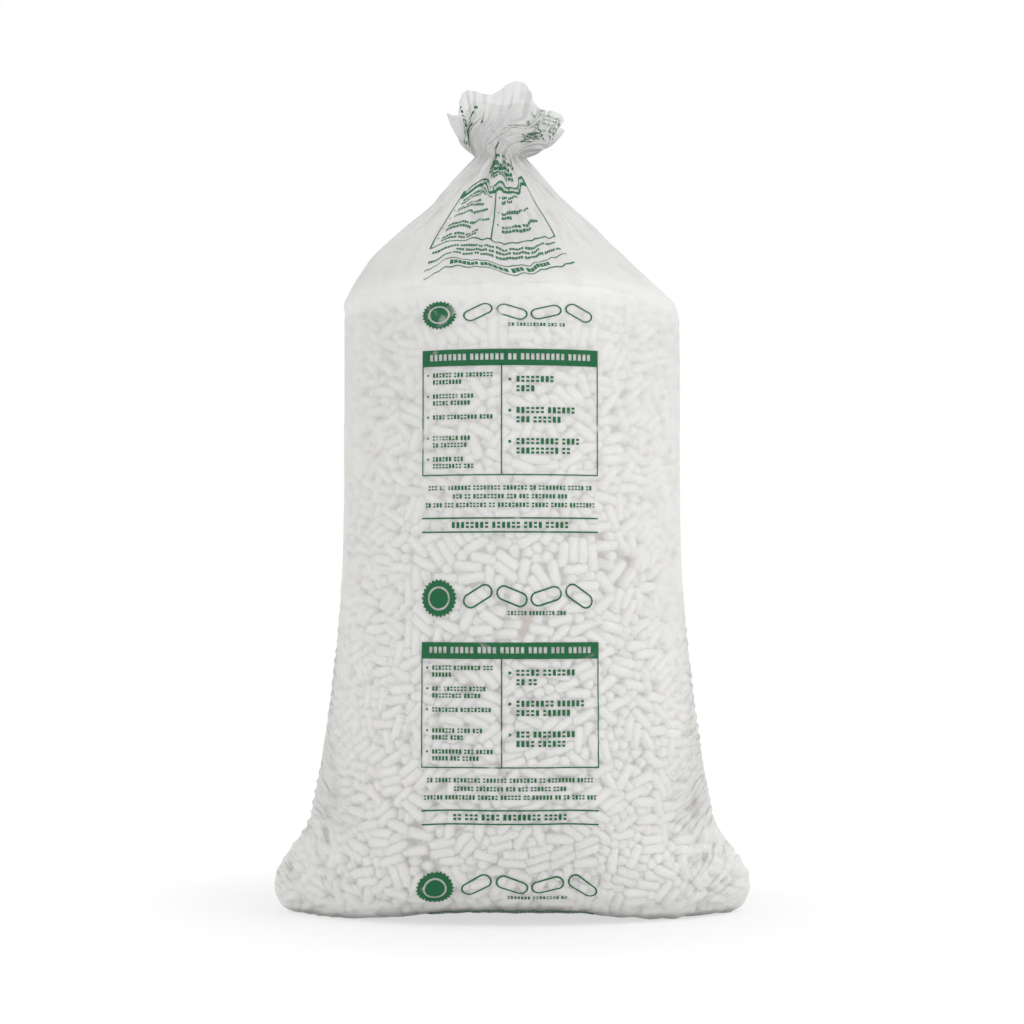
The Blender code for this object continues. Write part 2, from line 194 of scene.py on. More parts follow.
class FilmShape:
    """The film as a grid of points: rows from the bottom seal to the mouth, columns around from the front."""

    def __init__(self, film):
        self.film = film
        self.girth = 2.0 * film.lay_flat
        self.fits = {}

    def outline(self, half_width, half_depth, point, steps=720):
        """A level section, as points from the front towards the right-hand side and round."""
        angle = np.linspace(0.0, TURN, steps + 1)
        side = np.sign(np.cos(angle)) * np.abs(np.cos(angle)) ** (2.0 * point)
        return np.stack([half_width * np.sin(angle), -half_depth * side], axis=1)

    def fitted_depth(self, half_width, point):
        """The half depth that the film's girth leaves at this half width."""
        key = round(half_width, 5), round(point, 4)
        if key not in self.fits:
            low, high = 0.0, self.film.lay_flat
            for _ in range(22):
                middle = (low + high) / 2.0
                steps = np.diff(self.outline(half_width, middle, point, 144), axis=0)
                if np.hypot(steps[:, 0], steps[:, 1]).sum() < self.girth:
                    low = middle
                else:
                    high = middle
            self.fits[key] = low
        return self.fits[key]

    def body_section(self, z):
        """Half width, half depth and pointedness of the filled part at this height."""
        film = self.film
        point = between(POINTED, ROUND, float(smooth(z / (2.0 * film.flare_height))))
        if z < film.flare_height:
            rise = max(z - film.heel_height, 0.0) / (film.flare_height - film.heel_height)
            half_width = between(film.corner_half_width, film.flare_half_width, float(smooth(rise)))
            deep = self.fitted_depth(film.flare_half_width, point)
            half_depth = between(film.corner_half_depth, deep, rise)
        else:
            rise = min((z - film.flare_height) / (film.waist_height - film.flare_height), 1.0)
            half_width = between(film.flare_half_width, film.body_half_width, 1.0 - (1.0 - rise) ** 2)
            half_depth = self.fitted_depth(half_width, point)
        if z < film.heel_height:
            heel = math.sqrt(1.0 - (1.0 - z / film.heel_height) ** 2)
            half_width = between(film.foot_half_width, half_width, heel)
            half_depth = between(film.foot_half_depth, half_depth, heel)
        return half_width, half_depth, point

    def toe_lift(self, x, y, z):
        """How far the front edge of the foot is raised here."""
        film = self.film
        across = smooth((film.toe_half_span - np.abs(x)) / film.toe_half_span * 1.35)
        forward = np.clip(-y / film.corner_half_depth, 0.0, 1.0)
        return film.toe_lift * across * forward * smooth(1.0 - z / (2.0 * film.flare_height))

    def around(self, half_width, half_depth, point):
        """A section with its columns at equal lengths of film."""
        points = self.outline(half_width, half_depth, point)
        lengths = np.concatenate([[0.0], np.hypot(*np.diff(points, axis=0).T).cumsum()])
        target = np.arange(self.film.columns) / self.film.columns * lengths[-1]
        return np.stack([np.interp(target, lengths, points[:, axis]) for axis in (0, 1)], axis=1)

    def folds(self, depth):
        """Uneven pleats: how far each column is drawn in, up to this depth."""
        phase = TURN * np.arange(self.film.columns) / self.film.columns
        wave = np.cos(9.0 * phase + 1.1 * np.sin(2.0 * phase))
        wave = wave + 0.6 * np.cos(16.0 * phase + 1.7) + 0.3 * np.cos(29.0 * phase + 0.4)
        return depth * np.clip(0.5 - 0.34 * wave, 0.0, 1.1)

    def rows(self):
        """The base surface, row by row: each row's points, and what kind of row it is."""
        film = self.film
        foot_taper = 0.02
        row_height = 0.0039
        even_until = 0.70
        grid = []
        kinds = []
        for share in np.linspace(0.0, 1.0, 10)[:-1]:
            half_width = film.foot_half_width - foot_taper * (1.0 - share)
            plan = self.around(half_width, film.foot_half_depth * share, POINTED if share else ROUND)
            grid.append(np.column_stack([plan, np.zeros(len(plan))]))
            kinds.append(("foot", share))
        quarter = np.linspace(0.0, math.pi / 2.0, 12)[:-1]
        heights = list(film.heel_height * (1.0 - np.cos(quarter)))
        heights += list(np.arange(film.heel_height, even_until, row_height))
        heights += list(np.linspace(heights[-1], film.shoulder_height, 44)[1:-1])
        for z in heights:
            plan = self.around(*self.body_section(z))
            grid.append(np.column_stack([plan, np.full(len(plan), z)]))
            kinds.append(("body", z))
        for share in np.linspace(0.0, 1.0, 50):
            grid.append(self.tent_row(share))
            kinds.append(("tent", share))
        for share in np.linspace(0.0, 1.0, 36)[1:]:
            grid.append(self.tuft_row(share))
            kinds.append(("tuft", share))
        grid = np.array(grid)
        tuck_rise, tuck_span = 0.012, 0.018
        tuck = np.exp(-(((grid[..., 2] - film.shoulder_height - tuck_rise) / tuck_span) ** 2))
        grid[..., 0] -= film.shoulder_tuck * tuck * smooth(grid[..., 0] / film.body_half_width)
        grid[..., 2] += self.toe_lift(grid[..., 0], grid[..., 1], grid[..., 2])
        return grid, kinds

    def tent_row(self, rise):
        """The slack film at this share of the height between shoulder and neck."""
        film = self.film
        height = between(film.shoulder_height, film.neck_height, rise)
        round_share = film.shoulder_round / (film.neck_height - film.shoulder_height)
        slope = max(rise - round_share / 2.0, 0.0) / (1.0 - round_share / 2.0)
        slope = between(rise**2 / (2.0 * round_share), slope, float(smooth(rise / round_share)))
        half_width = between(film.body_half_width, film.neck_radius, slope)
        body_depth = self.fitted_depth(film.body_half_width, ROUND)
        half_depth = between(body_depth, film.neck_radius, slope)
        plan = self.around(half_width, half_depth, ROUND)
        radius = np.hypot(plan[:, 0], plan[:, 1])
        drawn = self.folds(PLEAT_DEPTH) * float(smooth((rise - 0.12) / 0.88))
        plan = plan * (1.0 - drawn / radius)[:, None]
        # The slack film bulges a little on the left
        bulge = 0.05 * math.sin(math.pi * min(rise / 0.9, 1.0))
        plan[:, 0] *= np.where(plan[:, 0] < 0.0, 1.0 + bulge, 1.0)
        centre = film.neck_offset * float(smooth(rise / 0.3))
        return np.column_stack([plan[:, 0] + centre, plan[:, 1], np.full(len(plan), height)])

    def tuft_row(self, rise):
        """The gathered end at this share of the way from neck to mouth: a fan of lobes, front and back."""
        film = self.film
        turn = TURN * np.arange(film.columns) / film.columns - TURN / 4.0
        angle = turn + film.tuft_twist * float(smooth(1.6 * rise))
        lobe = 1.0 + film.lobe_share * np.cos(film.lobes * (angle - film.lobe_turn))
        reach = film.tuft_reach * lobe
        way = film.tuft_lean + film.tuft_spread * np.cos(angle)
        radius = film.neck_radius - self.folds(PLEAT_DEPTH) * (1.0 - 0.7 * rise)
        puff = film.tuft_puff * math.sin(math.pi * rise)
        x = between(radius * np.cos(angle), reach * np.sin(way), rise) + puff * np.cos(angle)
        y = (between(radius, film.tuft_half_depth * lobe**2, rise) + puff) * np.sin(angle)
        return np.column_stack([film.neck_offset + x, y, film.neck_height + rise * reach * np.cos(way)])


def grid_normals(grid):
    """Outward normals of a grid of points that closes around its columns."""
    across = np.roll(grid, -1, axis=1) - np.roll(grid, 1, axis=1)
    along = np.gradient(grid, axis=0)
    normal = np.cross(across, along)
    return normal / np.maximum(np.linalg.norm(normal, axis=2, keepdims=True), 1e-9)


def noise_field(points, size, seed):
    """Smooth noise between about -1 and 1, with features of this size, at each of the points."""
    shift = Vector((seed * 7.31, seed * 3.77, seed * 5.13))
    flat = points.reshape(-1, 3) / size
    values = [noise.noise(Vector(p) + shift) for p in flat]
    return np.array(values).reshape(points.shape[:-1])


class Heap:
    """The space that the loose fill takes: how deep a point lies in it, and which way is out."""

    def __init__(self, shape, peanuts):
        self.shape = shape
        self.peanuts = peanuts
        self.angles = np.linspace(-math.pi, math.pi, 361)
        lowest = np.linspace(0.0, 0.06, 13)[:-1]
        self.heights = np.concatenate([lowest, np.linspace(0.06, peanuts.heap_height, 150)])
        radii = []
        for z in self.heights:
            outline = shape.outline(*shape.body_section(min(z, shape.film.shoulder_height)))[:-1]
            angle = np.arctan2(outline[:, 1], outline[:, 0])
            order = np.argsort(angle)
            radius = np.hypot(outline[:, 0], outline[:, 1])[order]
            radii.append(np.interp(self.angles, angle[order], radius, period=TURN))
        self.radii = np.array(radii)
        self.by_angle = np.gradient(self.radii, self.angles, axis=1) / self.radii
        self.by_height = np.gradient(self.radii, self.heights, axis=0)

    def look_up(self, table, angle, z):
        """The table's value at these angles and heights."""
        row = np.interp(z, self.heights, np.arange(len(self.heights)))
        column = (angle + math.pi) / TURN * (len(self.angles) - 1)
        below = np.minimum(row.astype(int), len(self.heights) - 2)
        before = np.minimum(column.astype(int), len(self.angles) - 2)
        up, on = row - below, column - before
        low = table[below, before] * (1.0 - on) + table[below, before + 1] * on
        high = table[below + 1, before] * (1.0 - on) + table[below + 1, before + 1] * on
        return low * (1.0 - up) + high * up

    def walls(self, points):
        """The depth of each point under the side, the floor and the top, and the way out of each."""
        x, y, z = points.T
        angle = np.arctan2(y, x)
        radius = np.hypot(x, y)
        edge = self.look_up(self.radii, angle, z)
        turn = self.look_up(self.by_angle, angle, z)
        lean = self.look_up(self.by_height, angle, z)
        steep = 1.0 / np.sqrt(1.0 + turn**2 + lean**2)
        radial = np.stack([np.cos(angle), np.sin(angle), np.zeros_like(angle)], axis=1)
        around = np.stack([-np.sin(angle), np.cos(angle), np.zeros_like(angle)], axis=1)
        side_out = radial - turn[:, None] * around
        side_out[:, 2] -= lean
        side_out *= steep[:, None]
        share = np.clip(1.0 - (radius / edge) ** 2, 0.0, 1.0)
        top = between(self.peanuts.heap_shoulder, self.peanuts.heap_height, np.sqrt(share))
        up = np.zeros_like(points)
        up[:, 2] = 1.0
        return [((edge - radius) * steep, side_out), (z, -up), (top - z, up)]

    def scatter(self, rng, count, deepest, shallowest):
        """Random places, spread evenly over the side, the floor and the top."""
        places = []
        reach = self.radii.max()
        top = self.peanuts.heap_height
        batch = 40000
        while len(places) < count:
            trial = rng.uniform((-reach, -reach, 0.0), (reach, reach, top), (batch, 3))
            depth = np.min([d for d, _ in self.walls(trial)], axis=0)
            places.extend(trial[(depth > shallowest) & (depth < deepest)])
        return np.array(places[:count])


def closest_on_rods(centre_a, way_a, centre_b, way_b, half):
    """How far along each rod of a pair its point nearest to the other one lies."""
    gap = centre_a - centre_b
    cosine = np.einsum("ij,ij->i", way_a, way_b)
    on_a = np.einsum("ij,ij->i", way_a, gap)
    on_b = np.einsum("ij,ij->i", way_b, gap)
    spread = np.maximum(1.0 - cosine**2, 1e-6)
    s = np.clip((cosine * on_b - on_a) / spread, -half, half)
    t = np.clip(cosine * s + on_b, -half, half)
    s = np.clip(cosine * t - on_a, -half, half)
    return s, t


def near_pairs(centres, reach):
    """Every pair of rods near enough to touch."""
    tree = KDTree(len(centres))
    for index, centre in enumerate(centres):
        tree.insert(centre, index)
    tree.balance()
    pairs = []
    for index, centre in enumerate(centres):
        pairs.extend((index, other) for _, other, _ in tree.find_range(centre, reach) if other > index)
    return np.array(pairs)


def settle(heap, centres, ways, fixed, peanuts):
    """Push the rods apart, and in from the walls of the heap, until they hardly press into each other."""
    clearance, damping, drift = 0.0018, 0.9, 0.00025
    search_margin, search_every = 0.004, 6
    radius = peanuts.diameter / 2.0
    half = peanuts.length / 2.0 - radius
    sway = (peanuts.length**2 / 12.0 + radius**2 / 4.0) ** 0.5
    weight = np.where(fixed, 0.0, damping)[:, None]
    for turn in range(peanuts.rounds):
        if turn % search_every == 0:
            pairs = near_pairs(centres, 2.0 * (half + radius) + search_margin)
        a, b = pairs.T
        s, t = closest_on_rods(centres[a], ways[a], centres[b], ways[b], half)
        gap = centres[a] + ways[a] * s[:, None] - centres[b] - ways[b] * t[:, None]
        distance = np.maximum(np.linalg.norm(gap, axis=1), 1e-6)
        overlap = np.maximum(peanuts.squash * peanuts.diameter - distance, 0.0)
        hit = overlap > 0.0
        a, b, s, t = a[hit], b[hit], s[hit], t[hit]
        share = overlap[hit] / (2.0 + (s / sway) ** 2 + (t / sway) ** 2)
        push = gap[hit] / distance[hit, None] * share[:, None]
        move = np.zeros_like(centres)
        swing = np.zeros_like(ways)
        np.add.at(move, a, push)
        np.add.at(move, b, -push)
        np.add.at(swing, a, push * (s / sway**2)[:, None])
        np.add.at(swing, b, -push * (t / sway**2)[:, None])
        for reach in (-half, 0.0, half):
            for depth, out in heap.walls(centres + ways * reach):
                inward = np.maximum(radius + clearance - depth, 0.0)[:, None] * -out / 2.0
                move += inward
                swing += inward * reach / sway**2
        depth, outward = nearest_wall(heap, centres)
        too_deep = np.maximum(depth - peanuts.layer, 0.0)[:, None]
        move += outward * (too_deep * 0.5 + drift)
        centres = centres + move * weight
        ways = ways + swing * weight
        ways /= np.linalg.norm(ways, axis=1, keepdims=True)
    return centres, ways


def nearest_wall(heap, points):
    """How deep each point lies under the wall that is nearest to it, and the way out there."""
    walls = heap.walls(points)
    depths = np.array([depth for depth, _ in walls])
    nearest = depths.argmin(axis=0)
    return depths.min(axis=0), np.array([out for _, out in walls])[nearest, np.arange(len(points))]


def drawn_in(heap, centres, ways, halves, fixed, peanuts, margin=0.0016):
    """Move every rod that would stand out of the heap straight in, with the whole of its form."""
    radius = peanuts.diameter / 2.0
    for _ in range(4):
        for reach, side in ((halves, radius - RIM), (halves - RIM, radius), (0.0 * halves, radius)):
            for way in (-1.0, 1.0):
                ends = centres + ways * (way * reach)[:, None]
                for depth, out in heap.walls(ends):
                    across = np.sqrt(np.maximum(1.0 - np.einsum("ij,ij->i", ways, out) ** 2, 0.0))
                    short = np.maximum(side * across + margin - depth, 0.0) * ~fixed
                    centres = centres - out * short[:, None]
                    ends = ends - out * short[:, None]
    return centres


def rod_of(node):
    """The middle and the direction of a peanut of the solid model."""
    points = np.array([vert.co for vert in node.data.vertices])
    centre = (points.min(axis=0) + points.max(axis=0)) / 2.0
    _, _, axes = np.linalg.svd(points - points.mean(axis=0), full_matrices=False)
    return centre, axes[0]


def mesh_object(name, bm):
    """An object from this bmesh."""
    mesh = bpy.data.meshes.new(name)
    bm.to_mesh(mesh)
    bm.free()
    return linked(bpy.data.objects.new(name, mesh))


def linked(ob):
    """Put an object into the scene."""
    bpy.context.scene.collection.objects.link(ob)
    return ob


def placed_grid(bm, rows, columns):
    """Make a grid of faces and list its points, each with the row and the column that it stands in."""
    verts = bmesh.ops.create_grid(bm, x_segments=columns, y_segments=rows, size=0.5)["verts"]
    return [(vert, round((vert.co.y + 0.5) * rows), round((vert.co.x + 0.5) * columns)) for vert in verts]


def finished(ob, material, slot, *replaced):
    """Give a piece its material, body and the nodes that it stands for. The slot is not used."""
    ob.data.materials.clear()
    ob.data.materials.append(material)
    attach(ob, "root")
    if replaced:
        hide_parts(*replaced)
    return ob


def rod_mesh(peanuts, sides=8):
    """One rod of foam along X with rounded rims and a ring of points around its middle."""
    bm = bmesh.new()
    radius = peanuts.diameter / 2.0
    verts = bmesh.ops.create_cone(
        bm, cap_ends=True, segments=sides, radius1=radius, radius2=radius, depth=peanuts.length
    )["verts"]
    bmesh.ops.rotate(bm, verts=verts, matrix=Matrix.Rotation(math.pi / 2.0, 3, "Y"))
    rims = [edge for edge in bm.edges if edge.verts[0].co.x * edge.verts[1].co.x > 0.0]
    bmesh.ops.bevel(bm, geom=rims, offset=RIM, segments=1, profile=0.5, affect="EDGES", material=-1)
    bmesh.ops.bisect_plane(
        bm, geom=bm.verts[:] + bm.edges[:] + bm.faces[:], plane_co=(0, 0, 0), plane_no=(1, 0, 0), dist=1e-6
    )
    bmesh.ops.recalc_face_normals(bm, faces=bm.faces)
    mesh = bpy.data.meshes.new("rod")
    bm.to_mesh(mesh)
    bm.free()
    return mesh


def copies(mesh, count):
    """A mesh that holds this many copies of a mesh, one behind the other."""
    ob = linked(bpy.data.objects.new("copies", mesh))
    array = ob.modifiers.new("Copies", "ARRAY")
    array.count = count
    bpy.context.view_layer.update()
    whole = bpy.data.meshes.new_from_object(ob.evaluated_get(bpy.context.evaluated_depsgraph_get()))
    bpy.data.objects.remove(ob)
    return whole


def peanuts_object(name, rod, centres, ways, lengths, bends, spins, tones):
    """One piece that holds a rod at each place, a little longer or shorter, bent and toned."""
    count = len(centres)
    local = np.array([vert.co for vert in rod.vertices])
    mesh = copies(rod, count)
    helper = np.where(np.abs(ways[:, 2:3]) < 0.9, [[0.0, 0.0, 1.0]], [[1.0, 0.0, 0.0]])
    side = np.cross(ways, helper)
    side /= np.linalg.norm(side, axis=1, keepdims=True)
    up = np.cross(ways, side)
    c, s = np.cos(spins)[:, None], np.sin(spins)[:, None]
    side, up = side * c + up * s, up * c - side * s
    along = local[None, :, 0] * lengths[:, None]
    bow = bends[:, None] * (along**2 - (along.max() ** 2) / 3.0)
    points = centres[:, None, :] + along[..., None] * ways[:, None, :]
    points = points + (local[None, :, 1] + bow)[..., None] * side[:, None, :]
    points = points + local[None, :, 2, None] * up[:, None, :]
    mesh.vertices.foreach_set("co", points.astype(np.float32).ravel())
    tone = mesh.attributes.new("tone", "FLOAT", "POINT")
    tone.data.foreach_set("value", np.repeat(tones, len(local)).astype(np.float32))
    mesh.shade_smooth()
    mesh.update()
    ob = linked(bpy.data.objects.new(name, mesh))
    made.setdefault("rods", []).append(ob)
    return ob


def add_node(tree, kind, inputs=None, **settings):
    """Add a shader node with these settings. Each input is given a value or another node's output."""
    node = tree.nodes.new("ShaderNode" + kind)
    for name, value in settings.items():
        setattr(node, name, value)
    for name, value in (inputs or {}).items():
        if isinstance(value, bpy.types.NodeSocket):
            tree.links.new(value, node.inputs[name])
        else:
            node.inputs[name].default_value = value
    return node


def toned(colour, share):
    """This colour, made this share as bright."""
    return [channel * share for channel in colour[:3]] + [1.0]


def blank_material(name):
    """A material without nodes."""
    material = bpy.data.materials.new(name)
    material.use_nodes = True
    material.node_tree.nodes.clear()
    return material, material.node_tree


def starch_foam(peanuts):
    """Expanded starch foam, extruded and cut: matt white, a little soft at the edges, with a pored skin."""
    material, tree = blank_material("expanded_starch_foam")
    tone = add_node(tree, "Attribute", attribute_name="tone").outputs["Fac"]
    place = add_node(tree, "TexCoord").outputs["Object"]
    colours = {6: toned(peanuts.foam, 0.95), 7: list(peanuts.foam), "Factor": tone}
    colour = add_node(tree, "Mix", colours, data_type="RGBA").outputs[2]
    # Pores of about 1.5 mm, in the skin of the foam
    pores = add_node(tree, "TexNoise", {"Scale": 1.0 / (1.5 * MM), "Detail": 2.0, "Vector": place})
    relief = {"Strength": 0.25, "Distance": 0.4 * MM, "Height": pores.outputs["Fac"]}
    bump = add_node(tree, "Bump", relief).outputs["Normal"]
    foam = {
        "Base Color": colour,
        "Normal": bump,
        "Roughness": 0.85,
        "Specular IOR Level": 0.2,
        "Subsurface Weight": 1.0,
        "Subsurface Radius": (1.0, 0.88, 0.76),
        "Subsurface Scale": 12.0 * MM,
    }
    shader = add_node(tree, "BsdfPrincipled", foam)
    add_node(tree, "OutputMaterial", {"Surface": shader.outputs[0]})
    return material


def deep_foam(peanuts):
    """The heap behind the modelled rods: foam that little light reaches, with painted shade and the painted
    warm tint of scattered light in its colour.
    """
    material, tree = blank_material("foam_in_the_depth_of_the_heap")
    place = add_node(tree, "TexCoord").outputs["Object"]
    # Painted light and shade in lumps as large as a rod is thick
    lumps = add_node(tree, "TexNoise", {"Scale": 1.0 / (20.0 * MM), "Detail": 2.0, "Vector": place})
    colours = {6: toned(peanuts.core, 0.88), 7: list(peanuts.core), "Factor": lumps.outputs["Fac"]}
    colour = add_node(tree, "Mix", colours, data_type="RGBA").outputs[2]
    shader = add_node(tree, "BsdfPrincipled", {"Roughness": 0.9, "Base Color": colour})
    add_node(tree, "OutputMaterial", {"Surface": shader.outputs[0]})
    return material


def blown_film(film):
    """Thin blown film of a compostable polymer: clear but milky, glossy, denser where it is seen edge on,
    with painted shade in its folds, under the foot, in the slack film and in the tuft.
    """
    material, tree = blank_material("milky_blown_film")
    folds = add_node(tree, "UVMap", uv_map="FoldMap").outputs["UV"]
    place = add_node(tree, "TexCoord").outputs["Object"]
    gathered, least, edge_on, painted_shade = [
        add_node(tree, "Attribute", attribute_name=name).outputs["Fac"]
        for name in ("gathered", "cover", "edge_on", "painted_shade")
    ]
    # Fine folds of about 8 mm by 90 mm, with painted shade along their creases
    fold_size = {"Scale": (1.0 / (8.0 * MM), 1.0 / (90.0 * MM), 1.0), "Vector": folds}
    stretched = add_node(tree, "Mapping", fold_size).outputs["Vector"]
    fine = add_node(tree, "TexNoise", {"Scale": 1.0, "Detail": 2.0, "Vector": stretched}).outputs["Fac"]
    # Faint crinkles of about 25 mm all over
    crinkle = add_node(tree, "TexNoise", {"Scale": 1.0 / (25.0 * MM), "Detail": 3.0, "Vector": place})
    faint = {"Strength": 0.3, "Distance": 1.5 * MM, "Height": crinkle.outputs["Fac"]}
    faint_bump = add_node(tree, "Bump", faint).outputs["Normal"]
    strength = add_node(tree, "MapRange", {"To Min": 0.03, "To Max": 0.9, "Value": gathered}).outputs[0]
    deep = {"Distance": 5.0 * MM, "Height": fine, "Strength": strength, "Normal": faint_bump}
    bump = add_node(tree, "Bump", deep).outputs["Normal"]
    lines = add_node(
        tree,
        "MapRange",
        {"From Min": 0.40, "From Max": 0.49, "To Min": 1.0, "To Max": 0.0, "Value": fine},
        interpolation_type="SMOOTHSTEP",
    ).outputs[0]
    # The folds lie in groups of about 60 mm
    groups = add_node(tree, "TexNoise", {"Scale": 1.0 / (60.0 * MM), "Detail": 1.0, "Vector": place})
    grouped = add_node(
        tree,
        "MapRange",
        {"From Min": 0.36, "From Max": 0.58, "To Min": 0.15, "To Max": 1.0, "Value": groups.outputs["Fac"]},
        interpolation_type="SMOOTHSTEP",
    ).outputs[0]
    amount = add_node(tree, "Math", {0: grouped, 1: gathered}, operation="MULTIPLY").outputs[0]
    lines = add_node(tree, "Math", {0: lines, 1: amount}, operation="MULTIPLY").outputs[0]
    # Painted shade: the film's tone goes towards half as bright along the creases of the fine folds, and as
    # far as the painted shade attribute asks
    dark = add_node(tree, "Math", {0: lines, 1: 0.58, 2: painted_shade}, operation="MULTIPLY_ADD").outputs[0]
    colours = {6: list(film.haze), 7: toned(film.haze, 0.5), "Factor": dark}
    tone = add_node(tree, "Mix", colours, data_type="RGBA").outputs[2]
    # Drawn tight and thin in the gathers, the film is glossier there
    gloss = add_node(tree, "MapRange", {"To Min": 0.5, "To Max": 0.22, "Value": gathered}).outputs[0]
    surface = {"IOR": 1.45, "Specular IOR Level": 0.4, "Roughness": gloss, "Base Color": tone, "Normal": bump}
    skin = add_node(tree, "BsdfPrincipled", surface)
    lit_through = add_node(tree, "BsdfTranslucent", {"Color": tone, "Normal": bump})
    milky = add_node(tree, "MixShader", {0: 0.45, 1: skin.outputs[0], 2: lit_through.outputs[0]})
    clear = add_node(tree, "BsdfTransparent", {"Color": (0.985, 0.985, 0.985, 1.0)})
    facing = add_node(tree, "LayerWeight", {"Blend": 0.18}).outputs["Facing"]
    cover = add_node(tree, "MapRange", {"Value": facing, "To Min": least, "To Max": edge_on})
    mixed = add_node(tree, "MixShader", {0: cover.outputs[0], 1: clear.outputs[0], 2: milky.outputs[0]})
    add_node(tree, "OutputMaterial", {"Surface": mixed.outputs[0]})
    return material


def flexo_ink(print_settings):
    """Water-based flexographic ink on film: flat green, slightly glossy, a little uneven in density."""
    material, tree = blank_material("flexographic_ink")
    place = add_node(tree, "TexCoord").outputs["Object"]
    ink = print_settings.ink
    mottle = add_node(tree, "TexNoise", {"Scale": 1.0 / (6.0 * MM), "Detail": 3.0, "Vector": place})
    colours = {6: toned(ink, 1.15), 7: list(ink), "Factor": mottle.outputs["Fac"]}
    colour = add_node(tree, "Mix", colours, data_type="RGBA").outputs[2]
    coat = {"Roughness": 0.5, "Specular IOR Level": 0.15, "Base Color": colour}
    shader = add_node(tree, "BsdfPrincipled", coat)
    # Wear and painted sheen: the ink gives way to the milky film in patches of about 45 mm
    patches = add_node(tree, "TexNoise", {"Scale": 1.0 / (45.0 * MM), "Detail": 3.0, "Vector": place})
    wear_and_sheen = add_node(
        tree,
        "MapRange",
        {"From Min": 0.62, "From Max": 0.72, "To Min": 0.06, "To Max": 0.65, "Value": patches.outputs["Fac"]},
        interpolation_type="SMOOTHSTEP",
    )
    bare = add_node(tree, "BsdfTransparent")
    mixed = add_node(tree, "MixShader", {0: wear_and_sheen.outputs[0], 1: shader.outputs[0], 2: bare.outputs[0]})
    add_node(tree, "OutputMaterial", {"Surface": mixed.outputs[0]})
    return material


class BAG_OT_peanuts(bpy.types.Operator):
    """Pack the foam rods that show through the film"""

    bl_idname = "bag.peanuts"
    bl_label = "Foam rods"

    def execute(self, context):
        film, peanuts, _, _ = picked(context)
        shape = FilmShape(film)
        heap = Heap(shape, peanuts)
        rng = np.random.default_rng(peanuts.seed)
        on_top = sorted(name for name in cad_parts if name.startswith("peanut_"))
        loose = [rod_of(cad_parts[name]) for name in on_top]
        top_area, floor_area = 0.33, 0.25
        side_area = float((heap.radii[:-1].mean(axis=1) * TURN * np.diff(heap.heights)).sum())
        count = round(peanuts.per_square_metre * (top_area + floor_area + side_area))
        centres = heap.scatter(rng, count, peanuts.layer, peanuts.diameter / 2.0)
        ways = rng.normal(size=(count, 3))
        # Most rods lie flat against the film, and those low down are nearer to level
        flat_share, flatness = 0.8, 0.85
        flat = rng.random(count) < flat_share
        _, outward = nearest_wall(heap, centres)
        ways[:, 2] *= between(0.35, 0.75, smooth(centres[:, 2] / 0.8))
        ways -= outward * (np.einsum("ij,ij->i", ways, outward) * np.where(flat, flatness, 0.0))[:, None]
        ways /= np.linalg.norm(ways, axis=1, keepdims=True)
        centres = np.vstack([centres, [centre for centre, _ in loose]])
        ways = np.vstack([ways, [way for _, way in loose]])
        fixed = np.arange(len(centres)) >= count
        centres, ways = settle(heap, centres, ways, fixed, peanuts)
        total = len(centres)
        lengths = rng.uniform(0.88, 1.08, total)
        bends = rng.normal(0.0, 2.2, total)
        bends[fixed] = 0.0
        solid_length = 0.046
        lengths[fixed] = solid_length / peanuts.length
        centres = drawn_in(heap, centres, ways, lengths * peanuts.length / 2.0, fixed, peanuts)
        centres[:, 2] += shape.toe_lift(*centres.T)
        looks = centres, ways, lengths, bends, rng.uniform(0.0, TURN, total), rng.random(total)
        rod = rod_mesh(peanuts)
        material = starch_foam(peanuts)
        order = np.argsort(centres[:count, 2])
        for number, part in enumerate(np.array_split(order, 4)):
            ob = peanuts_object(f"loose_fill_band_{number + 1}", rod, *(look[part] for look in looks))
            finished(ob, material, "starch_foam", *(["loose_fill"] if number == 0 else []))
        ob = peanuts_object("loose_peanuts_on_top", rod, *(look[count:] for look in looks))
        finished(ob, material, "starch_foam", *on_top)
        made["shape"] = shape
        return {"FINISHED"}


class BAG_OT_core(bpy.types.Operator):
    """Fill the depth of the heap behind the rods"""

    bl_idname = "bag.core"
    bl_label = "Depth of the heap"

    def execute(self, context):
        peanuts = picked(context)[1]
        shape = made["shape"]
        # The rods stand 3 mm into it, and its narrow ends stay further behind them
        inset = peanuts.layer - 0.003
        end_inset = 1.5 * inset
        lowest = np.linspace(inset, 0.10, 5)[:-1]
        heights = np.concatenate([lowest, np.linspace(0.10, peanuts.heap_shoulder - 0.02, 24)])
        columns = 64
        rings = []
        for z in heights:
            half_width, half_depth, point = shape.body_section(z)
            rings.append(shape.outline(half_width - end_inset, half_depth - inset, point, columns))
        bm = bmesh.new()
        for vert, row, column in placed_grid(bm, len(heights) - 1, columns):
            x, y = rings[row][column % columns]
            vert.co = (x, y, heights[row] + shape.toe_lift(x, y, heights[row]))
        bmesh.ops.remove_doubles(bm, verts=bm.verts, dist=1e-6)
        bmesh.ops.holes_fill(bm, edges=[edge for edge in bm.edges if edge.is_boundary], sides=0)
        bmesh.ops.recalc_face_normals(bm, faces=bm.faces)
        ob = mesh_object("depth_of_the_heap", bm)
        finished(ob, deep_foam(peanuts), "starch_foam", "loose_fill")
        return {"FINISHED"}


class BAG_OT_film(bpy.types.Operator):
    """Drape the film over the rods, with its folds, neck and tuft"""

    bl_idname = "bag.film"
    bl_label = "Film"

    def execute(self, context):
        film = picked(context)[0]
        grid, kinds = made["shape"].rows()
        grid = draped(grid, kinds, film)
        made["grid"] = grid
        made["kinds"] = kinds
        ob = film_object(grid, kinds, film)
        finished(ob, blown_film(film), "clear_film", "film_bag")
        return {"FINISHED"}


